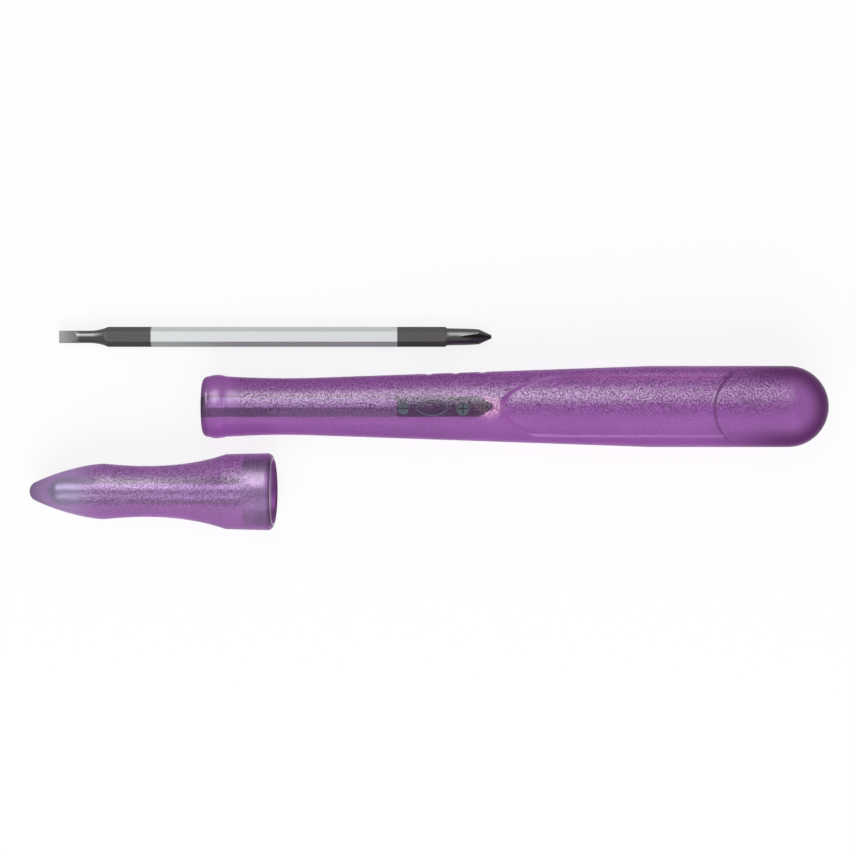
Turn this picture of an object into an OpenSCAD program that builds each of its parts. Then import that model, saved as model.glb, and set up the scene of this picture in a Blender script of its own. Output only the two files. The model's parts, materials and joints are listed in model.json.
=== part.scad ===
// Pocket screwdriver taken apart on a table: a clear plastic handle, its reversible hexagonal blade
// and its push-on cap, lying side by side. X runs along the handle towards its butt, Y across the row
// towards the blade and Z up. The origin is the middle of the row, on the table.

/* [Handle] */
// Length of the handle from nose to butt
handle_len = 125; // [110:0.5:150]
// Diameter of the barrel, the thick end that sits in the palm
barrel_d = 16.2; // [15:0.1:20]
// Distance from the nose to where the barrel starts
barrel_at = 89.5; // [75:0.5:95]
// Diameter of the neck at its slimmest
neck_d = 11.36; // [10:0.02:12]
// Distance from the nose to the slimmest place of the neck
neck_at = 16.5; // [14:0.5:22]
// Radius of the long hollow curve of the neck
neck_curve = 182; // [150:1:220]
// Rounding of the nose's front corner
lip_round = 1.2; // [0.4:0.1:1.2]

/* [Cap snap] */
// Height of the bead round the nose
bead_rise = 0.3; // [0.2:0.05:0.5]
// Width of the bead along the nose
bead_w = 3.4; // [2.4:0.1:3.4]
// Distance from the nose to the top of the bead
bead_at = 3; // [3:0.1:3.6]
// Amount by which the cap's socket is tighter than the bead, on the radius
snap_bite = 0.08; // [0.02:0.01:0.15]
// Room round the bead in the groove of the cap, on the radius
groove_room = 0.05; // [0.02:0.01:0.2]

/* [Grip panel] */
// Depth of the sunk grip panel below the body
panel_depth = 0.45; // [0.2:0.05:0.8]
// Distance from the nose to the panel's rounded front end
panel_at = 59.2; // [50:0.2:66]
// Length over which the front end widens to the full panel
panel_taper = 18; // [10:0.5:22]
// Distance from the nose to the middle of the panel's rear shoulder
panel_end = 102; // [92:0.5:108]
// Width of the panel across the handle
panel_w = 14.4; // [9:0.2:14.8]
// Turn of the handle about its own axis, away from facing straight up
handle_roll = 5; // [0:1:15]

/* [Side notches] */
// Depth of the shallow notches in the side of the handle
notch_depth = 0.26; // [0.1:0.02:0.5]
// Length of each notch along the handle
notch_len = 1.6; // [1:0.1:2.4]
// Distance from the nose to the first notch
notch_at = 45.2; // [40:0.2:50]
// Pitch of the notches along the handle
notch_pitch = 5.4; // [3:0.2:6]
// Number of notches
notch_count = 3; // [1:1:3]

/* [Blade] */
// Length of the blade over both tips
blade_len = 87.2; // [80:0.2:96]
// Size of the hexagonal bar across its flats
blade_af = 3.5; // [3.2:0.1:4]
// Length of blade that sits in the handle
blade_in = 57.9; // [54:0.1:62]
// Width of the slotted tip
slot_w = 2.5; // [2:0.1:3]
// Thickness of the slotted tip at its edge
slot_t = 0.4; // [0.3:0.05:0.6]
// Radius of the wheel that hollow-grinds the slotted tip
slot_grind = 7; // [5:0.5:10]
// Length from the slotted tip to where its round neck starts to flare
slot_neck = 6; // [5:0.1:8]
// Length of the flare from the round neck to the full bar
slot_flare = 3.9; // [3:0.1:5]
// Length of the cross tip, from the end of the full bar
cross_len = 9.3; // [8:0.1:12]
// Diameter of the cross tip where it leaves the bar
cross_d = 3.5; // [3.1:0.1:3.6]
// Diameter of the cross tip where its cone starts
cross_end_d = 3.25; // [2.8:0.05:3.4]
// Half angle of the cone of the cross tip
cross_angle = 26.5; // [24:0.5:30]
// Diameter of the blunt end of the cross tip
cross_blunt = 0.7; // [0.5:0.05:1]
// Length of the flutes of the cross tip
flute_len = 6.8; // [5:0.1:8]
// Distance of the flute's bottom from the axis at the blunt end
flute_web = 0.3; // [0.2:0.02:0.4]

/* [Blade bore] */
// Sliding room between the blade and the flats of its bore, on each side
bore_room = 0.05; // [0.03:0.01:0.15]
// Room round and behind the tip at the bottom of the bore
tip_room = 0.1; // [0.05:0.05:0.4]
// Width of the lead-in chamfer at the mouth of the bore
bore_lead = 0.5; // [0.2:0.1:1]

/* [Cap] */
// Length of the cap from tip to mouth
cap_len = 49.3; // [46:0.1:56]
// Radius of the cap's blunt point
cap_tip_r = 2.1; // [1.5:0.1:2.6]
// Diameter of the bulge behind the point
bulge_d = 11.14; // [10:0.02:12]
// Distance from the tip to the bulge
bulge_at = 15; // [12:0.5:17]
// Diameter of the waist
waist_d = 10.2; // [9:0.1:11]
// Distance from the tip to the waist
waist_at = 23.2; // [20:0.2:26]
// Diameter of the corner where the bell starts
bell_d = 15; // [14.6:0.1:16]
// Length of the bell, from its corner to the mouth
bell_len = 9.5; // [8.5:0.1:12]
// Diameter of the cap at its mouth
mouth_d = 15.4; // [15.2:0.1:17]
// Rounding of the outer corner of the mouth
mouth_round = 1.2; // [0.4:0.1:1.2]
// Depth of the socket that takes the nose of the handle
socket_depth = 5.7; // [5.4:0.1:7]
// Lead-in chamfer of the socket
socket_lead = 0.4; // [0.2:0.1:0.5]
// Diameter of the narrow bore that covers the blade
cap_bore_d = 5; // [4.6:0.1:5.4]
// Distance from the tip to the end of the straight part of that bore
cap_bore_end = 5.8; // [5.4:0.1:9]
// Length of the pointed end of that bore
cap_bore_point = 2.2; // [1:0.1:2.4]

/* [Layout] */
// Distance between the axes of the handle and the blade
blade_row = 14.1; // [12:0.1:30]
// Distance between the axes of the handle and the cap
cap_row = 17; // [16.5:0.1:35]
// Distance by which the cap's tip lies in front of the nose
cap_ahead = 34.9; // [0:0.1:80]

/* [Hidden] */
$fn = 96;
steps = 14;
// Overshoot of cutters past the faces that they open
past = 1;

barrel_r = barrel_d / 2;
neck_r = neck_d / 2;
cone_run = barrel_at - neck_at;
// Where the neck's curve runs out into the straight taper, so that the two are tangent
taper_at = neck_at + cone_run - sqrt(cone_run^2 - 2 * neck_curve * (barrel_r - neck_r));
nose_r = neck_radius(bead_at + bead_w / 2);
bead_r = nose_r + bead_rise;
bead_curve = bump_radius(bead_w, bead_rise);
dome_at = handle_len - barrel_r;

hex_r = blade_af / sqrt(3);
bore_hex_r = (blade_af + 2 * bore_room) / sqrt(3);
tip_bore_r = cross_d / 2 + tip_room;
cone_len = (cross_end_d - cross_blunt) / 2 / tan(cross_angle);
flute_rise = atan((cross_d / 2 - flute_web) / flute_len);

cap_bore_r = cap_bore_d / 2;
bell_at = cap_len - bell_len;
socket_r = bead_r - snap_bite;
groove_r = bead_r + groove_room;
groove_at = cap_len - socket_depth + bead_at;
groove_curve = bump_radius(bead_w, groove_r - socket_r);

// The handle lies on its bead and the front of its barrel, the cap on its bulge and its bell
handle_lean = atan((barrel_r - bead_r) / (barrel_at - bead_at));
cap_lean = atan((bell_d - bulge_d) / 2 / (bell_at - bulge_at));
handle_z = bead_r * cos(handle_lean) - bead_at * sin(handle_lean);
cap_z = bulge_d / 2 * cos(cap_lean) - bulge_at * sin(cap_lean);

// The middle of the row's box, measured from the nose and axis of the handle
row_x = (dome_at * cos(handle_lean) + barrel_r - cap_ahead - cap_tip_r * (1 - cos(cap_lean))) / 2;
row_y = (blade_row + hex_r - cap_row - mouth_d / 2) / 2;

// Radius of the arc that stands a given height over a chord
function bump_radius(chord, rise) = (chord^2 / 4 + rise^2) / (2 * rise);

// Points along an arc given by its centre, radius and end angles
function arc(centre, r, from, to) =
    [for (i = [0 : steps]) let (a = from + (to - from) * i / steps) centre + r * [cos(a), sin(a)]];

// Points along a smooth curve drawn by two end points and two guide points
function curve(a, b, c, d) =
    [for (i = [0 : steps]) let (t = i / steps, s = 1 - t) s^3 * a + 3 * s^2 * t * b + 3 * s * t^2 * c + t^3 * d];

// Radius of the neck and taper of the handle at a distance from the nose
function neck_radius(x) = neck_r + (x - neck_at)^2 / (2 * neck_curve);
function body_radius(x) = x < taper_at ? neck_radius(x)
    : x < barrel_at ? neck_radius(taper_at) + (x - taper_at) * (taper_at - neck_at) / neck_curve
    : barrel_r;

// A ring-shaped bump or groove on a wall: its middle, its wall radius, its width and its height
function bump(at, wall_r, width, rise, bump_r) =
    let (half = asin(width / 2 / bump_r)) arc([wall_r + rise - bump_r, at], bump_r, -half, half);

// Outline of the handle as radius and distance from the nose, drawn smaller by the given inset
function handle_outline(inset = 0) = [for (p = concat(
    [[0, 0]],
    arc([nose_r - lip_round, lip_round], lip_round, -90, 0),
    bump(bead_at, nose_r, bead_w, bead_rise, bead_curve),
    [for (i = [1 : steps]) let (x = bead_at + bead_w / 2 + (taper_at - bead_at - bead_w / 2) * i / steps)
        [neck_radius(x), x]],
    [[barrel_r, barrel_at]],
    arc([0, dome_at], barrel_r, 0, 90))) [max(0, p[0] - inset), p[1]]];

// Turns an upright form so that its axis lies along X
module along_x() rotate([0, 90, 0]) children();

// Turns a flat outline of radius and length into a solid along X
module turned(points) along_x() rotate_extrude() polygon(points);

module handle_place()
    translate([-row_x, -row_y, handle_z]) rotate([handle_roll, -handle_lean, 0]) children();

// Plan of the grip panel: half an ellipse in front and a hollow round shoulder behind
module panel_plan() {
    half = panel_w / 2;
    difference() {
        polygon(concat(
            [for (p = arc([0, 0], 1, 90, 270)) [panel_at + panel_taper * (1 + p[0]), half * p[1]]],
            [[panel_end + barrel_r, -half], [panel_end + barrel_r, half]]));
        translate([panel_end + barrel_r, 0]) circle(barrel_r);
    }
}

// The layer of plastic that the grip panel removes, of even depth under the round body
module panel_cut() intersection() {
    linear_extrude(barrel_d) panel_plan();
    difference() {
        turned([[0, panel_at - past], [barrel_d, panel_at - past], [barrel_d, dome_at], [0, dome_at]]);
        turned(handle_outline(panel_depth));
    }
}

// Blind bore for the blade: a hexagon for the bar, then a round pocket that ends in the tip's cone
module blade_bore() {
    hex_depth = blade_in - cross_len + tip_room;
    cone_at = blade_in - cone_len;
    along_x() translate([0, 0, -past]) cylinder(h = hex_depth + past, r = bore_hex_r, $fn = 6);
    turned([[0, hex_depth - past], [tip_bore_r, hex_depth - past], [tip_bore_r, cone_at],
        [cross_blunt / 2 + tip_room, blade_in + tip_room], [0, blade_in + tip_room]]);
    turned([[0, -past], [bore_hex_r + bore_lead + past, -past], [bore_hex_r, bore_lead], [0, bore_lead]]);
}

// Shallow round-bottomed notches along one side of the handle
module notches() {
    notch_curve = bump_radius(notch_len, notch_depth);
    for (i = [0 : notch_count - 1]) let (x = notch_at + i * notch_pitch)
        translate([x, body_radius(x) + notch_curve - notch_depth, 0])
            cylinder(h = neck_r, r = notch_curve, center = true);
}

module handle() color([0.57, 0.36, 0.63, 0.85]) handle_place() difference() {
    turned(handle_outline());
    panel_cut();
    blade_bore();
    notches();
}

// Round form that the bar is ground to at its two ends, wider than the bar between them
module ground_ends() {
    clear_r = hex_r + past;
    flare_at = slot_neck + slot_flare;
    flare_curve = (slot_flare^2 + (hex_r - slot_w / 2)^2) / (2 * (hex_r - slot_w / 2));
    bar_end = blade_len - cross_len;
    shoulder = hex_r - cross_d / 2;
    turned(concat(
        [[0, 0], [slot_w / 2, 0]],
        arc([slot_w / 2 + flare_curve, slot_neck], flare_curve, 180, 180 - asin(slot_flare / flare_curve)),
        [[clear_r, flare_at + past], [clear_r, bar_end - past], [hex_r, bar_end],
            [cross_d / 2, bar_end + shoulder], [cross_end_d / 2, blade_len - cone_len],
            [cross_blunt / 2, blade_len], [0, blade_len]]));
}

// The two hollow faces ground into the slotted tip
module slot_grinding() for (side = [-1, 1])
    translate([0, 0, side * (slot_t / 2 + slot_grind)]) rotate([90, 0, 0])
        cylinder(h = blade_af + 2 * past, r = slot_grind, center = true);

// The four flutes of the cross tip, which leave four parallel-sided wings
module flutes() for (turn = [0 : 90 : 270])
    rotate([turn, 0, 0]) translate([blade_len, 0, flute_web]) rotate([0, flute_rise, 0])
        translate([-flute_len - cross_len, 0, 0]) rotate([45, 0, 0])
            cube([flute_len + cross_len + past, cross_d, cross_d]);

module blade() color("silver")
    translate([blade_in - blade_len - row_x, blade_row - row_y, blade_af / 2]) difference() {
        intersection() {
            along_x() rotate(30) cylinder(h = blade_len, r = hex_r, $fn = 6);
            ground_ends();
        }
        slot_grinding();
        flutes();
    }

// Outline of the cap from its blunt point over bulge, waist and bell to the rounded mouth
function cap_outline() =
    let (bulge = [bulge_d / 2, bulge_at], waist = [waist_d / 2, waist_at], bell = [bell_d / 2, bell_at],
        tip_turn = 35, point = [0, cap_tip_r] + cap_tip_r * [cos(tip_turn), -sin(tip_turn)],
        rise = bulge - point, dip = waist - bulge, flare = bell - waist)
    concat(
        arc([0, cap_tip_r], cap_tip_r, -90, -tip_turn),
        curve(point, point + [0.47 * rise[0], 0.26 * rise[1]], bulge - [0.05 * rise[0], 0.32 * rise[1]], bulge),
        curve(bulge, bulge + [0.33 * dip[0], 0.27 * dip[1]], waist - [0, 0.4 * dip[1]], waist),
        curve(waist, waist + [0, 0.47 * flare[1]], bell - [0.54 * flare[0], 0.24 * flare[1]], bell),
        arc([mouth_d / 2 - mouth_round, cap_len - mouth_round], mouth_round, 0, 90));

// Outline of the cap's inside, from the mouth over socket and groove to the pointed end of the bore
function cap_hollow() = concat(
    [[0, cap_len + past], [socket_r + socket_lead + past, cap_len + past], [socket_r, cap_len - socket_lead]],
    [for (i = [0 : steps]) bump(groove_at, socket_r, bead_w, groove_r - socket_r, groove_curve)[steps - i]],
    [[socket_r, cap_len - socket_depth], [cap_bore_r, cap_len - socket_depth], [cap_bore_r, cap_bore_end],
        [0, cap_bore_end - cap_bore_point]]);

module cap() color([0.6, 0.4, 0.66, 0.85])
    translate([-cap_ahead - row_x, -cap_row - row_y, cap_z]) rotate([0, -cap_lean, 0]) difference() {
        turned(concat(cap_outline(), [[0, cap_len]]));
        turned(cap_hollow());
    }

handle();
blade();
cap();
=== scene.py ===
# Pocket screwdriver taken apart on a white table: the clear violet handle, its reversible blade and its
# push-on cap lie side by side. Outlines are drawn in millimetres, and places in the frame are metres.
import json
import math

import bmesh
import bpy
import numpy as np
from mathutils import Matrix, Vector


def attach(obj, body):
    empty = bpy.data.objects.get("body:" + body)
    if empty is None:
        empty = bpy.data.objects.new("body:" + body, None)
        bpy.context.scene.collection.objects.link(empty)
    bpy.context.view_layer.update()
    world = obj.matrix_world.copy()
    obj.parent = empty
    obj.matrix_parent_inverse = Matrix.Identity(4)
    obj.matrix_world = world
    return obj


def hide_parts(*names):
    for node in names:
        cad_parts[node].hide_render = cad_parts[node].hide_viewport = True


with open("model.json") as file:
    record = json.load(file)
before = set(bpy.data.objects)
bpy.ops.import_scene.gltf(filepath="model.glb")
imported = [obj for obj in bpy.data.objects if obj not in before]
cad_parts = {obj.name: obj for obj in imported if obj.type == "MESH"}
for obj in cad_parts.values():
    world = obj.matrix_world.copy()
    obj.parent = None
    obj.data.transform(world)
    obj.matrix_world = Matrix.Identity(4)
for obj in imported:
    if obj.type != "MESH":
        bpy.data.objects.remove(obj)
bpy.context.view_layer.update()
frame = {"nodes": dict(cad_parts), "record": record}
mounts = {mount["name"]: mount for mount in frame["record"]["mounts"]}
mm = 0.001

# Handle: one solid moulding of clear violet plastic, round all along, slim at the neck and domed at the
# butt. It has a blind hexagonal bore for the blade, and a bead round the nose that holds the cap.
handle_len, barrel_r, barrel_at = 125.0, 8.1, 89.5
neck_r, neck_at, neck_curve = 5.68, 16.5, 182.0
lip_round, bead_at, bead_w, bead_rise = 1.2, 3.0, 3.4, 0.3
bore_corner_r, bore_lead, hex_depth, hex_turn = 2.078, 0.5, 48.7, 0.14
pocket_r, pocket_ring_at, pocket_cone_at, pocket_end_r, pocket_depth = 1.85, 52, 55.34, 0.45, 58.0
nose_face_rings = 4.2, 3.4
handle_roll = math.radians(5)
handle_segments = 240
dome_points, bead_points, lip_points, lead_points = 26, 15, 10, 4
weld = 0.0001 * mm
crease = math.radians(32)


def node(tree, kind, inputs=(), **settings):
    """A node in a tree, with its settings, and its inputs as values or links."""
    made = tree.nodes.new(kind)
    for name, value in settings.items():
        setattr(made, name, value)
    for socket, value in dict(inputs).items():
        if isinstance(value, bpy.types.NodeSocket):
            tree.links.new(value, made.inputs[socket])
        else:
            made.inputs[socket].default_value = value
    return made


def arithmetic(tree, operation, *terms):
    """The result of one step of arithmetic on numbers or sockets."""
    return node(tree, "ShaderNodeMath", enumerate(terms), operation=operation).outputs[0]


def new_tree(name, inputs, output):
    """A geometry tree with named inputs and one output, and the sockets of those inputs."""
    tree = bpy.data.node_groups.new(name, "GeometryNodeTree")
    for socket, kind in inputs.items():
        tree.interface.new_socket(socket, in_out="INPUT", socket_type="NodeSocket" + kind)
    tree.interface.new_socket(output, in_out="OUTPUT", socket_type="NodeSocketGeometry")
    return tree, tree.nodes.new("NodeGroupInput").outputs


def finish_tree(tree, output, form, material):
    """Ends a tree with its form as plain faces of one material."""
    form = node(tree, "GeometryNodeRealizeInstances", {"Geometry": form}).outputs[0]
    form = node(tree, "GeometryNodeSetMaterial", {"Geometry": form, "Material": material}).outputs[0]
    node(tree, "NodeGroupOutput", {output: form})


def turned_tree():
    """A tree that turns an outline of length and radius about the X axis, as a lathe does. Where the
    outline's hexagon attribute is 1, the ring is a hexagon of that corner radius, with a corner up."""
    tree, given = new_tree(
        "turned_form", {"Outline": "Geometry", "Segments": "Int", "Material": "Material"}, "Form")
    outline, segments = given["Outline"], given["Segments"]
    rows = node(tree, "GeometryNodeAttributeDomainSize", {"Geometry": outline}).outputs["Point Count"]
    ring = arithmetic(tree, "ADD", segments, 1)
    grid = node(tree, "GeometryNodeMeshGrid", {"Vertices X": rows, "Vertices Y": ring}).outputs["Mesh"]
    index = node(tree, "GeometryNodeInputIndex").outputs[0]
    row = arithmetic(tree, "FLOOR", arithmetic(tree, "DIVIDE", arithmetic(tree, "ADD", index, 0.5), ring))
    step = arithmetic(tree, "SUBTRACT", index, arithmetic(tree, "MULTIPLY", row, ring))
    turn = arithmetic(tree, "MULTIPLY", arithmetic(tree, "DIVIDE", step, segments), 2 * math.pi)
    position = node(tree, "GeometryNodeInputPosition").outputs[0]
    place = node(tree, "GeometryNodeSampleIndex", {"Geometry": outline, "Value": position, "Index": row},
                 data_type="FLOAT_VECTOR").outputs[0]
    place = node(tree, "ShaderNodeSeparateXYZ", {0: place}).outputs
    wanted = node(tree, "GeometryNodeInputNamedAttribute", {"Name": "hexagon"}, data_type="FLOAT")
    hexagon = node(tree, "GeometryNodeSampleIndex", {
        "Geometry": outline, "Value": wanted.outputs[0], "Index": row}, data_type="FLOAT").outputs[0]
    sixth, half_sixth = math.pi / 3, math.pi / 6
    in_side = arithmetic(tree, "FLOORED_MODULO", arithmetic(tree, "ADD", turn, half_sixth), sixth)
    across = arithmetic(tree, "COSINE", arithmetic(tree, "SUBTRACT", in_side, half_sixth))
    cut = arithmetic(tree, "SUBTRACT", arithmetic(tree, "DIVIDE", math.cos(half_sixth), across), 1)
    radius = arithmetic(tree, "MULTIPLY", place["Y"], arithmetic(tree, "MULTIPLY_ADD", cut, hexagon, 1))
    ring_place = node(tree, "ShaderNodeCombineXYZ", {
        "X": place["X"], "Y": arithmetic(tree, "MULTIPLY", radius, arithmetic(tree, "COSINE", turn)),
        "Z": arithmetic(tree, "MULTIPLY", radius, arithmetic(tree, "SINE", turn))}).outputs[0]
    form = node(tree, "GeometryNodeSetPosition", {"Geometry": grid, "Position": ring_place}).outputs[0]
    form = node(tree, "GeometryNodeMergeByDistance", {"Geometry": form, "Distance": weld}).outputs[0]
    form = node(tree, "GeometryNodeSetShadeSmooth", {"Geometry": form}).outputs[0]
    finish_tree(tree, "Form", form, given["Material"])
    return tree


def plain_mesh(piece, tree, **inputs):
    """Gives a piece the mesh that a tree with these inputs makes of it, with its faces pointing out."""
    modifier = piece.modifiers.new(tree.name, "NODES")
    modifier.node_group = tree
    for socket in tree.interface.items_tree:
        if socket.name in inputs:
            modifier[socket.identifier] = inputs[socket.name]
    made = piece.evaluated_get(bpy.context.evaluated_depsgraph_get())
    mesh = bpy.data.meshes.new_from_object(made)
    piece.modifiers.remove(modifier)
    shape = bmesh.new()
    shape.from_mesh(mesh)
    bmesh.ops.remove_doubles(shape, verts=shape.verts, dist=weld)
    bmesh.ops.recalc_face_normals(shape, faces=shape.faces)
    if shape.calc_volume(signed=True) < 0:
        bmesh.ops.reverse_faces(shape, faces=shape.faces)
    shape.to_mesh(mesh)
    shape.free()
    mesh.materials.clear()
    mesh.materials.append(inputs["Material"])
    mesh.polygons.foreach_set("material_index", [0] * len(mesh.polygons))
    piece.data = mesh


def new_piece(name, points, edges, faces=()):
    """An object of points, edges and faces, linked to the scene."""
    mesh = bpy.data.meshes.new(name)
    mesh.from_pydata(points, edges, faces)
    piece = bpy.data.objects.new(name, mesh)
    bpy.context.scene.collection.objects.link(piece)
    return piece


turned_form = turned_tree()


def turned(name, outline, segments, material):
    """A piece turned from an outline in millimetres: length, radius and, where wanted, hexagon share."""
    points = [(p[0] * mm, p[1] * mm, 0) for p in outline]
    piece = new_piece(name, points, [(i, i + 1) for i in range(len(points) - 1)])
    share = piece.data.attributes.new("hexagon", "FLOAT", "POINT")
    share.data.foreach_set("value", [p[2] if len(p) > 2 else 0 for p in outline])
    plain_mesh(piece, turned_form, Segments=segments, Material=material)
    return piece


def span(start, end, step):
    """Evenly spaced values from start to end, both included, about one step apart."""
    return np.linspace(start, end, max(2, round(abs(end - start) / step) + 1))


def arc(centre, r, start, end, count):
    """Points of length and radius along an arc, with angles counted from the axis towards the outside."""
    turns = np.radians(np.linspace(start, end, count))
    return [(centre[0] + r * math.cos(a), centre[1] + r * math.sin(a)) for a in turns]


def bump_r(chord, rise):
    """Radius of the arc that stands a given height over a chord."""
    return (chord ** 2 / 4 + rise ** 2) / (2 * rise)


def bump(at, wall_r, width, rise):
    """Points along a round bead or groove on a wall, from its far side to its near side."""
    r = bump_r(width, rise)
    half = math.degrees(math.asin(width / 2 / r))
    return arc((at, wall_r + rise - r), r, 90 - half, 90 + half, bead_points)


cone_run = barrel_at - neck_at
taper_at = neck_at + cone_run - math.sqrt(cone_run ** 2 - 2 * neck_curve * (barrel_r - neck_r))
taper_slope = (taper_at - neck_at) / neck_curve


def body_r(x):
    """Radius of the handle's round body at a distance from the nose."""
    neck = neck_r + (np.minimum(x, taper_at) - neck_at) ** 2 / (2 * neck_curve)
    return np.minimum(neck + np.maximum(x - taper_at, 0) * taper_slope, barrel_r)


nose_r = float(body_r(bead_at + bead_w / 2))
dome_at = handle_len - barrel_r
rings_at = dome_at, 108, 58, 43.5, bead_at + bead_w / 2
rings_apart = 1, 0.3, 0.25, 1.2  # closest where the panel and the notches are cut
bore_rings_apart = 1.5
handle_outline = arc((dome_at, 0), barrel_r, 0, 90, dome_points)
for start, end, apart in zip(rings_at, rings_at[1:], rings_apart):
    handle_outline += [(x, float(body_r(x))) for x in span(start, end, apart)[1:]]
handle_outline += bump(bead_at, nose_r, bead_w, bead_rise)[1:]
handle_outline += arc((lip_round, nose_r - lip_round), lip_round, 90, 180, lip_points)
handle_outline += [(0, r) for r in nose_face_rings]
handle_outline += arc((bore_lead / 2, bore_corner_r + bore_lead), bore_lead / 2, 180, 225, lead_points)
handle_outline += [(bore_lead, bore_corner_r), (bore_lead + hex_turn, bore_corner_r, 0.5)]
hex_from = bore_lead + 2 * hex_turn
handle_outline += [(x, bore_corner_r, 1) for x in span(hex_from, hex_depth, bore_rings_apart)]
handle_outline += [(x, pocket_r) for x in (hex_depth, pocket_ring_at, pocket_cone_at)]
handle_outline += [(pocket_depth, pocket_end_r), (pocket_depth, 0)]


def coordinates(tree):
    """The object coordinates of a material, as a vector and as its X, Y and Z."""
    place = node(tree, "ShaderNodeTexCoord").outputs["Object"]
    return place, node(tree, "ShaderNodeSeparateXYZ", {0: place}).outputs


def ramp(tree, value, start, end):
    """A smooth rise from 0 at start to 1 at end."""
    return node(tree, "ShaderNodeMapRange", {"Value": value, "From Min": start, "From Max": end},
                interpolation_type="SMOOTHSTEP").outputs["Result"]


def window(tree, value, rise, fall):
    """1 between a smooth rise and a smooth fall, each given by where it is 0 and where it is 1."""
    return arithmetic(tree, "MULTIPLY", ramp(tree, value, *rise), ramp(tree, value, *fall))


def noise(tree, place, scale, detail=2.0, roughness=0.5, stretch=None):
    """A noise pattern with so many features to the metre, drawn out along an axis where wanted."""
    if stretch:
        place = node(tree, "ShaderNodeMapping", {"Vector": place, "Scale": stretch}).outputs[0]
    return node(tree, "ShaderNodeTexNoise", {
        "Vector": place, "Scale": scale, "Detail": detail, "Roughness": roughness}).outputs[0]


def blend_colour(tree, share, first, second):
    """A colour between two, by a share from 0 to 1."""
    mix = node(tree, "ShaderNodeMix", {0: share}, data_type="RGBA")
    for socket, colour in ((6, first), (7, second)):  # the node's two colour inputs
        if isinstance(colour, bpy.types.NodeSocket):
            tree.links.new(colour, mix.inputs[socket])
        else:
            mix.inputs[socket].default_value = (*colour, 1)
    return mix.outputs[2]


def shade(tint, share):
    """A tint made deeper or paler by a share."""
    return tuple(level * share for level in tint)


def new_material(name, **shader):
    """A material with one main shader, whose named sockets are set."""
    material = bpy.data.materials.new(name)
    material.use_nodes = True
    sockets = material.node_tree.nodes["Principled BSDF"].inputs
    for socket, value in shader.items():
        sockets[socket.replace("_", " ")].default_value = value
    return material, material.node_tree, sockets


no_least = -100


def flat_distance(tree, place, centre, reach, least=no_least):
    """Distance from a centre over the table, in shares of a reach along and across. An offset along X that
    is below the least share counts as that share."""
    offset = node(tree, "ShaderNodeVectorMath", {0: place, 1: centre}, operation="SUBTRACT").outputs[0]
    scale = 1 / reach[0], 1 / reach[1], 0
    shares = node(tree, "ShaderNodeVectorMath", {0: offset, 1: scale}, operation="MULTIPLY").outputs[0]
    limit = least, no_least, 0
    shares = node(tree, "ShaderNodeVectorMath", {0: shares, 1: limit}, operation="MAXIMUM").outputs[0]
    return node(tree, "ShaderNodeVectorMath", {0: shares}, operation="LENGTH").outputs["Value"]


grain_scale, grain_contrast, grain_strength, grain_depth = 3000, (0.38, 0.62), 0.8, 0.1 * mm
grain_start_fade, grain_end_fade, parting_fade, near_half_grain_and_shade = 2 * mm, 5 * mm, 2 * mm, 0.25
cloud_scale, cloud_contrast = 90, (0.35, 0.65)
# The flecks average darker than the plain tint, so the grain also paints shade where it lies.
cloud_shares, fleck_and_shade_shares, end_shade_share = (0.93, 1.07), (0.42, 1.22), 0.1
gloss, gloss_sparkle, gloss_fade = 0.65, 0.7, (0.6, 0.15)


def violet_plastic(name, tint, grain_from, grain_to, parting_y, painted_shade_ends, painted_marks):
    """Clear violet plastic of a given tint. A fine spark-eroded grain lies between two places along X,
    mostly on the mould half beyond the parting line; its flecks average darker than the plain tint, so
    they also paint shade on that far half. Painted shade deepens the tint towards the ends, each given by
    where that starts and where it is full, and painted_marks adds the painted light and shade that only
    one piece has."""
    material, tree, shader = new_material(
        name, Roughness=0.3, IOR=1.12, Transmission_Weight=0.88, Coat_Roughness=0.3, Coat_IOR=1.5)
    place, axes = coordinates(tree)
    grained = window(tree, axes["X"], (grain_from - grain_start_fade, grain_from + grain_start_fade),
                     (grain_to + grain_end_fade, grain_to - grain_end_fade))
    # Grain and painted shade: the far half gets the full share of darker flecks, the near half a quarter.
    far_half_grain_and_shade = ramp(tree, axes["Y"], parting_y - parting_fade, parting_y + parting_fade)
    half_share = arithmetic(tree, "MULTIPLY_ADD", far_half_grain_and_shade, 1 - near_half_grain_and_shade, near_half_grain_and_shade)
    grained = arithmetic(tree, "MULTIPLY", grained, half_share)
    grain = noise(tree, place, grain_scale, detail=1)
    fleck = ramp(tree, grain, *grain_contrast)
    cloud = ramp(tree, noise(tree, place, cloud_scale, detail=3), *cloud_contrast)
    plain = blend_colour(tree, cloud, *(shade(tint, share) for share in cloud_shares))
    flecked_and_shaded = blend_colour(tree, fleck, *(shade(tint, share) for share in fleck_and_shade_shares))
    surface = painted_marks(tree, place, axes, fleck, blend_colour(tree, grained, plain, flecked_and_shaded))
    # Painted shade: the tint deepens towards each end, standing for the depth of plastic seen there.
    for start, full in painted_shade_ends:
        surface = blend_colour(tree, ramp(tree, axes["X"], start, full), surface, shade(tint, end_shade_share))
    tree.links.new(surface, shader["Base Color"])
    edge = node(tree, "ShaderNodeLayerWeight", {"Blend": 0.5}).outputs["Facing"]
    sparkle = arithmetic(tree, "MULTIPLY", grained, arithmetic(tree, "SUBTRACT", fleck, 0.5))
    coat = arithmetic(tree, "MULTIPLY_ADD", sparkle, gloss_sparkle, gloss)
    coat = arithmetic(tree, "MULTIPLY", coat, ramp(tree, edge, *gloss_fade))
    tree.links.new(coat, shader["Coat Weight"])
    strength = arithmetic(tree, "MULTIPLY", grained, grain_strength)
    rough = node(tree, "ShaderNodeBump", {"Strength": strength, "Distance": grain_depth, "Height": grain})
    tree.links.new(rough.outputs[0], shader["Normal"])
    tree.links.new(rough.outputs[0], shader["Coat Normal"])
    return material


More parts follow.
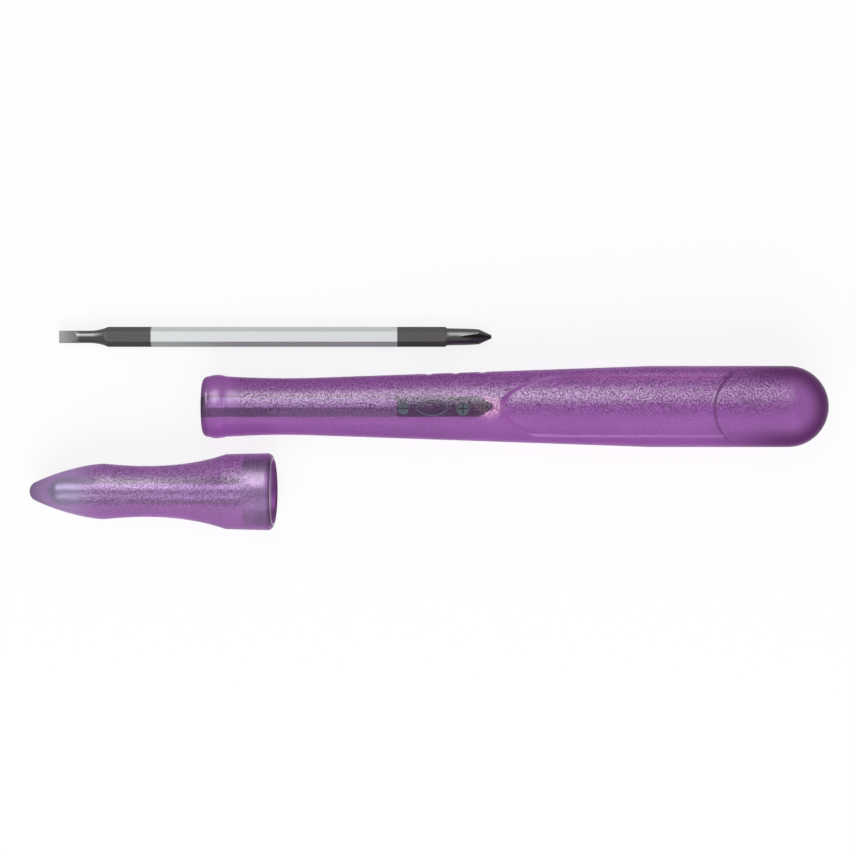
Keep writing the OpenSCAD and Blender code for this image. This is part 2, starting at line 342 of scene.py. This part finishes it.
nose = Vector(mounts["handle_socket"]["pos_m"])
nose_axis = Vector(mounts["handle_socket"]["axis"])
handle_lean = math.asin(-nose_axis.z)
handle_place = (Matrix.Translation(nose) @ Matrix.Rotation(-handle_lean, 4, "Y")
                @ Matrix.Rotation(handle_roll, 4, "X"))
handle_tint, handle_parting_y = (0.3, 0.09, 0.36), nose.y - mm
handle_grain_from, handle_grain_to = nose.x + 7 * mm, nose.x + 117 * mm
# Painted shade: a darker edge at the nose.
nose_painted_shade = nose.x + 1.5 * mm, nose.x - mm
dome_x = nose.x + dome_at * mm
# Painted shade: a deep violet rim round the butt's dome, darkest towards its outline.
butt_shade_fade, butt_shade_run, butt_shade_share = (0.38, 0.8), 16 * mm, 0.9
butt_painted_shade = 0.075, 0.0, 0.085
# Painted highlight: pale flecks over the bore's pointed end stand for light gathered there.
glint_at, glint_reach = (nose.x + 57.2 * mm, nose.y - 0.2 * mm, 0), (3.7 * mm, 2.4 * mm)
glint_fade, glint_dim, glint_bright = (1.0, 0.5), (0.3, 0.07, 0.28), (0.78, 0.52, 0.72)


def handle_painted_shade_and_glint(tree, place, axes, fleck, surface):
    """Painted shade and highlight on the handle: a deep rim round the butt, a glint over the bore's end."""
    # Painted shade round the butt's dome.
    out = flat_distance(tree, place, (dome_x, nose.y, 0), (barrel_r * mm, barrel_r * mm), least=0)
    butt_shade = arithmetic(tree, "MULTIPLY", ramp(tree, out, *butt_shade_fade),
                     ramp(tree, axes["X"], dome_x - butt_shade_run, dome_x))
    butt_shade = arithmetic(tree, "MULTIPLY", butt_shade, butt_shade_share)
    surface = blend_colour(tree, butt_shade, surface, butt_painted_shade)
    # Painted highlight: the glint.
    near = ramp(tree, flat_distance(tree, place, glint_at, glint_reach), *glint_fade)
    return blend_colour(tree, near, surface, blend_colour(tree, fleck, glint_dim, glint_bright))


handle_plastic = violet_plastic("clear_violet_handle", handle_tint, handle_grain_from, handle_grain_to,
                                handle_parting_y, [nose_painted_shade], handle_painted_shade_and_glint)
handle = turned("handle_moulding", handle_outline, handle_segments, handle_plastic)

# Grip panel: a long shallow hollow that the mould leaves on top of the handle, with a rounded front end,
# stepped and polished side walls and a round shoulder at the back. Three notches lie in the far side.
panel_depth = 0.45
panel_front, panel_back, panel_shoulder_r, panel_shoulder_w = 59.2, 102.0, barrel_r, 0.7
rim_run, rim_half_w = 18.0, 7.2
floor_front, floor_run, floor_half_w = 60.6, 12.0, 5.6
side_blend, step_run, step_share = 3.0, 0.3, 0.75
notch_at, notch_pitch, notch_count, notch_len, notch_depth, notch_half_h = 45.2, 5.4, 3, 1.6, 0.26, 2.8
skin_r, tiny = 3.5, 1e-9


def from_middle(x, y, front, run, half_w):
    """Distance from the middle line of a round-ended strip, which is 1 at its edge."""
    return np.hypot(np.clip((front + run - x) / run, 0, None), y / half_w)


spots = np.empty(len(handle.data.vertices) * 3)
handle.data.vertices.foreach_get("co", spots)
spots = spots.reshape(-1, 3) / mm
x, y, z = spots.T
r = np.maximum(np.hypot(y, z), tiny)
inside_rim = np.clip(1 - from_middle(x, y, panel_front, rim_run, rim_half_w), 0, None)
outside_floor = np.clip(from_middle(x, y, floor_front, floor_run, floor_half_w) - 1, 0, None)
slope = inside_rim / np.maximum(inside_rim + outside_floor, tiny)
far_side = np.clip(y / side_blend + 0.5, 0, 1)
step = np.clip((slope - (1 - step_run) * (1 - far_side)) / step_run, 0, 1)
slope = (1 - step_share) * slope + step_share * step
shoulder = panel_back + panel_shoulder_r - np.sqrt(np.clip(panel_shoulder_r ** 2 - y ** 2, 0, None))
slope *= np.clip((shoulder - x) / panel_shoulder_w, 0, 1)
sunk = np.where((r > skin_r) & (z > 0), panel_depth * slope, 0)
y -= y / r * sunk
z -= z / r * sunk
notch_r = bump_r(notch_len, notch_depth)
for at in notch_at + notch_pitch * np.arange(notch_count):
    reach = np.sqrt(np.clip(notch_r ** 2 - (x - at) ** 2, 0, None))
    bottom = float(body_r(at)) + notch_r - notch_depth - reach
    y[:] = np.where((np.abs(x - at) < notch_r) & (np.abs(z) < notch_half_h), np.minimum(y, bottom), y)
handle.data.vertices.foreach_set("co", (spots * mm).ravel())

wall_tint, wall_from, wall_to = (0.28, 0.072, 0.33), 0.02, panel_depth - 0.03
no_grain_x = nose.x + 1  # a metre past the nose, so the walls have no grain
# Grain flecks on the far wall, painted bright as a painted sparkle.
far_sparkle_x, far_sparkle_y = (nose.x + 72 * mm, nose.x + 80 * mm), (nose.y + 4 * mm, nose.y + 4.6 * mm)
far_sparkle_dim, far_sparkle_bright = (0.22, 0.045, 0.24), (0.48, 0.15, 0.48)
# Painted highlight: a bright line at the foot of the near wall.
near_highlight_y, near_highlight_edge, near_highlight_full = nose.y - 5.75 * mm, 0.5 * mm, 0.1 * mm
near_painted_highlight = 0.5, 0.26, 0.55
# Painted shade: a dark shoulder at the back of the panel.
shoulder_shade_centre = nose.x + (panel_back + panel_shoulder_r) * mm, nose.y, 0
shoulder_shade_reach = panel_shoulder_r * mm, panel_shoulder_r * mm
shoulder_shade_fade, shoulder_shade_share, shoulder_painted_shade = (1.14, 1.04), 0.75, (0.03, 0.006, 0.035)


def wall_sparkle_highlight_and_shade(tree, place, axes, fleck, surface):
    """The wall's flecks and painted light: flecks on its far side painted bright as sparkle, a painted
    highlight line at the foot of its near side and a painted shade on the shoulder."""
    far_sparkle = arithmetic(tree, "MULTIPLY", ramp(tree, axes["Y"], *far_sparkle_y),
                     ramp(tree, axes["X"], *far_sparkle_x))
    surface = blend_colour(tree, far_sparkle, surface, blend_colour(tree, fleck, far_sparkle_dim, far_sparkle_bright))
    # Painted highlight: the thin bright line along the foot of the near wall.
    line = window(tree, axes["Y"], (near_highlight_y - near_highlight_edge, near_highlight_y - near_highlight_full),
                  (near_highlight_y + near_highlight_edge, near_highlight_y + near_highlight_full))
    surface = blend_colour(tree, line, surface, near_painted_highlight)
    # Painted shade on the shoulder.
    shoulder_shade = ramp(tree, flat_distance(tree, place, shoulder_shade_centre, shoulder_shade_reach), *shoulder_shade_fade)
    shoulder_shade = arithmetic(tree, "MULTIPLY", shoulder_shade, shoulder_shade_share)
    return blend_colour(tree, shoulder_shade, surface, shoulder_painted_shade)


polished_wall = violet_plastic(
    "polished_violet_wall", wall_tint, no_grain_x, no_grain_x, nose.y, [], wall_sparkle_highlight_and_shade)
handle.data.materials.append(polished_wall)
for face in handle.data.polygons:
    if wall_from < sunk[list(face.vertices)].mean() < wall_to:
        face.material_index = 1

# Bore: the wall of the handle's hexagonal hole, polished by the core pin of the mould. It shines pale
# through the clear plastic, and its closed end is dark.
dark_end_x, dark_end_soft = nose.x + 38.9 * mm, 0.1 * mm
streak_scale, streak_stretch = 900, (0.08, 1, 1)
bore_dim, bore_bright, bore_dark = (0.14, 0.22, 0.155), (0.19, 0.29, 0.205), (0.02, 0.006, 0.03)
bore_reach, bore_limit_r = pocket_depth + 0.1, bore_corner_r + 0.01
bore_wall, tree, shader = new_material("polished_bore", Metallic=1.0, Roughness=0.36)
place, axes = coordinates(tree)
dark_end = ramp(tree, axes["X"], dark_end_x - dark_end_soft, dark_end_x + dark_end_soft)
streak = noise(tree, place, streak_scale, detail=3, roughness=0.6, stretch=streak_stretch)
pale = blend_colour(tree, streak, bore_dim, bore_bright)
tree.links.new(blend_colour(tree, dark_end, pale, bore_dark), shader["Base Color"])
handle.data.materials.append(bore_wall)
for face in handle.data.polygons:
    centre = face.center / mm
    if centre.x < bore_reach and math.hypot(centre.y, centre.z) < bore_limit_r:
        face.material_index = 2
handle.data.transform(handle_place)
handle.data.set_sharp_from_angle(angle=crease)
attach(handle, "handle")
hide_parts("handle")

# Signs: a disc with a slot, a long lens and a disc with a cross, which stand for the two tips and for
# turning the blade end for end. They are thin plates and lines, moulded with the handle over its bore.
sign_line_r, sign_lift = 0.12, 0.02
slot_sign, lens_sign, cross_sign = (40.2, -0.45), (45.9, -0.35), (52.0, -0.5)
slot_sign_r, cross_sign_r, lens_half_len, lens_half_w = 1.15, 1.3, 3.3, 1.45
cross_half = cross_sign_r * 0.75
plate_sink, plate_rings = 0.15, (1, 0.75, 0.5, 0.25)
ring_points, lens_points, line_step, line_sides = 48, 40, 0.1, 10
sign_noise = 1500
plate_dim, plate_bright = (0.065, 0.07, 0.095), (0.105, 0.115, 0.145)
lens_dim, lens_bright = (0.09, 0.085, 0.12), (0.14, 0.125, 0.17)
mark_dim, mark_bright = (0.02, 0.015, 0.03), (0.05, 0.04, 0.06)


def line_tree():
    """A tree that lays a round line of a given thickness along the edges of a piece."""
    tree, given = new_tree(
        "raised_line", {"Path": "Geometry", "Radius": "Float", "Material": "Material"}, "Line")
    path = node(tree, "GeometryNodeMeshToCurve", {"Mesh": given["Path"]}).outputs[0]
    section = node(tree, "GeometryNodeCurvePrimitiveCircle", {
        "Resolution": line_sides, "Radius": given["Radius"]}).outputs["Curve"]
    line = node(tree, "GeometryNodeCurveToMesh", {
        "Curve": path, "Profile Curve": section, "Fill Caps": True}).outputs[0]
    finish_tree(tree, "Line", line, given["Material"])
    return tree


def circle_path(centre, r):
    """Points round a circle."""
    turns = np.linspace(0, 2 * math.pi, ring_points, endpoint=False)
    return [(centre[0] + r * math.cos(a), centre[1] + r * math.sin(a)) for a in turns]


def straight_path(centre, half, tilt):
    """An open straight path through a centre."""
    along, across = math.cos(math.radians(tilt)), math.sin(math.radians(tilt))
    return [(centre[0] + t * along, centre[1] + t * across) for t in span(-half, half, line_step)], False


def lens_path(centre, half_len, half_w):
    """A closed path of two arcs that meet in points."""
    steps = np.linspace(-1, 1, lens_points)
    upper = [(centre[0] + half_len * t, centre[1] + half_w * (1 - t * t)) for t in steps]
    lower = [(centre[0] - half_len * t, centre[1] - half_w * (1 - t * t)) for t in steps[1:-1]]
    return upper + lower, True


def on_handle(path, lift):
    """Places on top of the handle for points along it and across it, in millimetres from the nose."""
    placed = []
    for along, across in path:
        rise = math.sqrt(float(body_r(along)) ** 2 - across ** 2) + lift
        placed.append((nose.x + along * mm, nose.y + across * mm,
                       nose.z + (along * math.sin(handle_lean) + rise) * mm))
    return placed


def sign_colour(name, dim, bright):
    """The plastic of a sign, in a colour between two."""
    material, tree, shader = new_material(name, Roughness=0.5, Specular_IOR_Level=0.1)
    speckle = noise(tree, coordinates(tree)[0], sign_noise)
    tree.links.new(blend_colour(tree, speckle, dim, bright), shader["Base Color"])
    return material


raised_line = line_tree()


def sign_lines(name, paths, material):
    """A piece of thin lines on the handle along paths, which are closed or open."""
    points, edges = [], []
    for path, closed in paths:
        first = len(points)
        points += on_handle(path, sign_lift)
        edges += [(i, i + 1) for i in range(first, len(points) - 1)]
        if closed:
            edges.append((len(points) - 1, first))
    piece = new_piece(name, points, edges)
    plain_mesh(piece, raised_line, Radius=sign_line_r * mm, Material=material)
    piece.data.shade_smooth()
    return piece


plate_points, plate_faces = [], []
for centre, plate_r in ((slot_sign, slot_sign_r), (cross_sign, cross_sign_r)):
    ring = range(len(plate_points), len(plate_points) + ring_points)
    plate_points += on_handle(circle_path(centre, plate_r), -plate_sink)
    plate_faces.append(ring[::-1])
    for share in plate_rings:
        outer, ring = ring, range(len(plate_points), len(plate_points) + ring_points)
        plate_points += on_handle(circle_path(centre, plate_r * share), sign_lift)
        plate_faces += [(outer[i - 1], outer[i], ring[i], ring[i - 1]) for i in range(ring_points)]
    plate_faces.append(ring)
sign_plates = new_piece("sign_plates", plate_points, [], plate_faces)
sign_plates.data.shade_smooth()
sign_plates.data.materials.append(sign_colour("sign_plate", plate_dim, plate_bright))
sign_lens = sign_lines("sign_lens", [lens_path(lens_sign, lens_half_len, lens_half_w)],
                       sign_colour("sign_lens", lens_dim, lens_bright))
mark_paths = [straight_path(slot_sign, slot_sign_r, 0)]
mark_paths += [straight_path(cross_sign, cross_half, tilt) for tilt in (0, 90)]
sign_marks = sign_lines("sign_marks", mark_paths, sign_colour("sign_mark", mark_dim, mark_bright))
for piece in (sign_plates, sign_lens, sign_marks):
    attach(piece, "handle")

# Blade: a hexagonal steel bar, satin plated between two bare burnished ends. One end is ground to a slotted
# tip and the other to a cross tip, and it is turned end for end in the handle.
slot_tip, cross_tip = (mounts[name]["pos_m"][0] for name in ("slotted_tip", "cross_tip"))
silver_from, silver_to, silver_soft = cross_tip - 68.6 * mm, cross_tip - 19.0 * mm, 0.1 * mm
ground_from, ground_to = slot_tip + 3.4 * mm, slot_tip + 4.4 * mm
bar_from, bar_to, bar_soft = slot_tip + 10 * mm, cross_tip - 9.3 * mm, mm
silver_dim, silver_bright = (0.35, 0.36, 0.36), (0.45, 0.465, 0.465)
burnished_dim, burnished_bright = (0.052, 0.05, 0.05), (0.078, 0.075, 0.075)
ground_grey = 0.17, 0.166, 0.166
tip_roughness, speckle_roughness, bar_roughness, ground_roughness = 0.27, 0.12, 0.35, 0.2
drawn_scale, drawn_stretch, drawn_strength, drawn_depth = 2500, (0.03, 1, 1), 0.15, 0.02 * mm
speckle_scale = 1800
blade_steel, tree, shader = new_material("blade_steel", Metallic=0.85)
place, axes = coordinates(tree)
plated = window(tree, axes["X"], (silver_from - silver_soft, silver_from + silver_soft),
                (silver_to + silver_soft, silver_to - silver_soft))
ground = ramp(tree, axes["X"], ground_to, ground_from)
bar = window(tree, axes["X"], (bar_from - bar_soft, bar_from), (bar_to + bar_soft, bar_to))
drawn = noise(tree, place, drawn_scale, detail=3, roughness=0.6, stretch=drawn_stretch)
speckle = noise(tree, place, speckle_scale, detail=4, roughness=0.7)
silver = blend_colour(tree, speckle, silver_dim, silver_bright)
burnished = blend_colour(tree, drawn, burnished_dim, burnished_bright)
bare = blend_colour(tree, ground, burnished, ground_grey)
tree.links.new(blend_colour(tree, plated, bare, silver), shader["Base Color"])
satin = arithmetic(tree, "MULTIPLY_ADD", speckle, speckle_roughness, tip_roughness)
satin = arithmetic(tree, "MULTIPLY_ADD", bar, bar_roughness, satin)
satin = arithmetic(tree, "MULTIPLY_ADD", ground, ground_roughness, satin)
tree.links.new(satin, shader["Roughness"])
drawn_lines = node(tree, "ShaderNodeBump", {
    "Strength": drawn_strength, "Distance": drawn_depth, "Height": drawn})
tree.links.new(drawn_lines.outputs[0], shader["Normal"])
blade = frame["nodes"]["blade"]
for slot in blade.material_slots:
    slot.material = blade_steel

# Cap: a push-on cover of the same clear violet plastic, moulded in one piece. Its bell snaps over the
# bead of the nose, and a narrow bore with a pointed end covers the tip of the blade that stands out.
cap_len, cap_tip_r, tip_turn = 49.3, 2.1, 35
bulge, waist, bell, mouth_r, mouth_round = (15.0, 5.57), (23.2, 5.1), (39.8, 7.5), 7.7, 1.2
point_guides = (0.26, 0.47), (0.68, 0.95)
waist_guides = (0.27, 0.33), (0.6, 1)
bell_guides = (0.47, 0), (0.76, 0.46)
socket_r, socket_depth, socket_lead, floor_ring_r = 6.2825, 5.7, 0.4, 4
groove_rise, cap_bore_r, cap_bore_end, cap_bore_step = 0.13, 2.5, 5.8, 2
cap_bore_point = (0.9, 1.9), (1.7, 0.9), (2.2, 0)
tip_points, point_points, waist_points, bell_points, mouth_points = 12, 28, 20, 30, 10
socket_mount_in = 0.8
cap_segments = 192


def curve(start, end, guides, count):
    """Points along a smooth curve between two ends, without the first. Two guide points draw it, each at
    given shares of the way from end to end, along and out."""
    a, d = np.array(start), np.array(end)
    b, c = (a + np.array(guide) * (d - a) for guide in guides)
    t = np.linspace(0, 1, count)[1:, None]
    path = (1 - t) ** 3 * a + 3 * (1 - t) ** 2 * t * b + 3 * (1 - t) * t ** 2 * c + t ** 3 * d
    return [tuple(spot) for spot in path]


socket_floor = cap_len - socket_depth
cap_outline = arc((cap_tip_r, 0), cap_tip_r, 180, 90 + tip_turn, tip_points)
cap_outline += curve(cap_outline[-1], bulge, point_guides, point_points)
cap_outline += curve(bulge, waist, waist_guides, waist_points)
cap_outline += curve(waist, bell, bell_guides, bell_points)
cap_outline += arc((cap_len - mouth_round, mouth_r - mouth_round), mouth_round, 90, 0, mouth_points)
cap_outline += [(cap_len, socket_r + socket_lead), (cap_len - socket_lead, socket_r)]
cap_outline += bump(socket_floor + bead_at, socket_r, bead_w, groove_rise)
cap_outline += [(socket_floor, r) for r in (socket_r, floor_ring_r, cap_bore_r)]
cap_outline += [(x, cap_bore_r) for x in span(socket_floor, cap_bore_end, cap_bore_step)[1:]]
cap_outline += [(cap_bore_end - beyond, r) for beyond, r in cap_bore_point]
cap_axis = Vector(mounts["cap_socket"]["axis"])
cap_tip = Vector(mounts["cap_socket"]["pos_m"]) - cap_axis * (cap_len - socket_mount_in) * mm
cap_tint, cap_parting_y = (0.35, 0.14, 0.42), cap_tip.y - 3 * mm
cap_grain_from, cap_grain_to = cap_tip.x + 9 * mm, cap_tip.x + 46 * mm
# Painted shade: a darker point and a darker mouth on the cap.
point_painted_shade = cap_tip.x + 7 * mm, cap_tip.x - 6 * mm
mouth_painted_shade = cap_tip.x + 47.3 * mm, cap_tip.x + 49.6 * mm
# Painted light: a paler, greyer point, where light passes through thin plastic.
thin_point_light_from, thin_point_light_full, thin_point_painted_light = cap_tip.x + 15 * mm, cap_tip.x + 7 * mm, (0.37, 0.23, 0.46)


def cap_painted_light(tree, place, axes, fleck, surface):
    """The cap's painted light: a paler, greyer point, where light passes through thin plastic."""
    return blend_colour(tree, ramp(tree, axes["X"], thin_point_light_from, thin_point_light_full), surface, thin_point_painted_light)


cap_plastic = violet_plastic("clear_violet_cap", cap_tint, cap_grain_from, cap_grain_to,
                             cap_parting_y, [point_painted_shade, mouth_painted_shade], cap_painted_light)
cap = turned("cap_moulding", cap_outline, cap_segments, cap_plastic)

clear_scale, clear_dim, clear_bright = 700, (0.58, 0.76, 0.6), (0.72, 0.9, 0.74)
groove_x = cap_tip.x + (socket_floor + bead_at) * mm
groove_rises = groove_x - 1.3 * mm, groove_x - 0.4 * mm
groove_falls = groove_x + 1.2 * mm, groove_x + 0.3 * mm
# Painted light on the socket wall: a greyer band on the groove stands for its silvery sheen, and a violet
# band at the mouth is painted shade.
groove_painted_sheen, socket_mouth_shade = (0.45, 0.66, 0.5), (0.24, 0.08, 0.28)
mouth_shade_from, mouth_shade_full = groove_x + 0.8 * mm, groove_x + 2.2 * mm
socket_limit_r, socket_limit = socket_r + 0.2, socket_floor - 0.1
cap_bore_limit_r, cap_bore_limit = cap_bore_r + 0.01, 3.5
inner_wall, tree, shader = new_material(
    "clear_cap_wall", Metallic=0.3, Roughness=0.4, IOR=1.12, Transmission_Weight=1.0)
place, axes = coordinates(tree)
clear = blend_colour(tree, noise(tree, place, clear_scale, detail=3), clear_dim, clear_bright)
# Painted sheen on the groove.
in_groove = window(tree, axes["X"], groove_rises, groove_falls)
clear = blend_colour(tree, in_groove, clear, groove_painted_sheen)
# Painted shade at the mouth.
mouth_shade = ramp(tree, axes["X"], mouth_shade_from, mouth_shade_full)
tree.links.new(blend_colour(tree, mouth_shade, clear, socket_mouth_shade), shader["Base Color"])
cap.data.materials.append(inner_wall)
for face in cap.data.polygons:
    centre = face.center / mm
    out = math.hypot(centre.y, centre.z)
    in_socket = out < socket_limit_r and centre.x > socket_limit
    in_bore = out < cap_bore_limit_r and centre.x > cap_bore_limit
    if in_socket or in_bore:
        face.material_index = 1
cap.data.transform(Matrix.Translation(cap_tip) @ Matrix.Rotation(-math.asin(cap_axis.z), 4, "Y"))
cap.data.set_sharp_from_angle(angle=crease)
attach(cap, "cap")
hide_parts("cap")

# Table, light and camera: a matt white table in a white room. The key softbox, on the blade's side, gives
# gloss and no matt light, the other two give no gloss, and a long lens looks straight down on the row.
table_half, table_drop, table_grey, table_seen = 1.5, 0.05 * mm, 0.9, 0.85
corners = (-1, -1), (1, -1), (1, 1), (-1, 1)
table = new_piece("table", [(sx * table_half, sy * table_half, -table_drop) for sx, sy in corners],
                  [], [(0, 1, 2, 3)])
white = 1, 1, 1, 1


def seen_rays(tree):
    """1 for the rays that show the background to the camera, in gloss or through clear plastic."""
    rays = node(tree, "ShaderNodeLightPath").outputs
    seen = arithmetic(tree, "MAXIMUM", rays["Is Camera Ray"], rays["Is Glossy Ray"])
    return arithmetic(tree, "MAXIMUM", seen, rays["Is Transmission Ray"])


white_table = bpy.data.materials.new("white_table")
white_table.use_nodes = True
tree = white_table.node_tree
tree.nodes.clear()
matt = node(tree, "ShaderNodeBsdfDiffuse", {"Color": (table_grey, table_grey, table_grey, 1)})
glow = node(tree, "ShaderNodeEmission", {"Color": white, "Strength": 1.0})
seen = arithmetic(tree, "MULTIPLY", seen_rays(tree), table_seen)
mixed = node(tree, "ShaderNodeMixShader", {0: seen, 1: matt.outputs[0], 2: glow.outputs[0]})
node(tree, "ShaderNodeOutputMaterial", {"Surface": mixed.outputs[0]})
table.data.materials.append(white_table)

room_light, room_seen = 0.45, 1.0
world = bpy.data.worlds.new("white_room")
bpy.context.scene.world = world
world.use_nodes = True
tree = world.node_tree
tree.nodes.clear()
strength = arithmetic(tree, "MULTIPLY_ADD", seen_rays(tree), room_seen - room_light, room_light)
sky = node(tree, "ShaderNodeBackground", {"Color": white, "Strength": strength})
node(tree, "ShaderNodeOutputWorld", {"Surface": sky.outputs[0]})


def softbox(name, place, size, power):
    """A rectangular soft lamp that faces the middle of the row."""
    lamp = bpy.data.lights.new(name, "AREA")
    lamp.shape = "RECTANGLE"
    lamp.size, lamp.size_y = size
    lamp.energy = power
    box = bpy.data.objects.new(name, lamp)
    bpy.context.scene.collection.objects.link(box)
    box.location = place
    box.rotation_euler = Vector(place).to_track_quat("Z", "Y").to_euler()
    return box


key = softbox("key_softbox", place=(-0.15, 0.48, 0.6), size=(0.5, 0.6), power=10)
key.visible_diffuse = False
top = softbox("top_softbox", place=(-0.1, 0.42, 0.95), size=(0.5, 0.35), power=2)
top.visible_glossy = False
fill = softbox("fill_softbox", place=(0.0, -0.6, 0.5), size=(0.9, 0.6), power=6)
fill.visible_glossy = False

photo_px, px_per_mm = 856, 5.0
camera_height, view_plane = 607 * mm, 7 * mm
nose_to_middle = 45.1 * mm, -4.29 * mm
view_width = photo_px / px_per_mm * mm
lens = bpy.data.cameras.new("camera")
lens.lens = lens.sensor_width * (camera_height - view_plane) / view_width
camera = bpy.data.objects.new("camera", lens)
camera.location = (nose.x + nose_to_middle[0], nose.y + nose_to_middle[1], camera_height)
bpy.context.scene.collection.objects.link(camera)
bpy.context.scene.camera = camera
bpy.context.scene.view_settings.view_transform = "Standard"
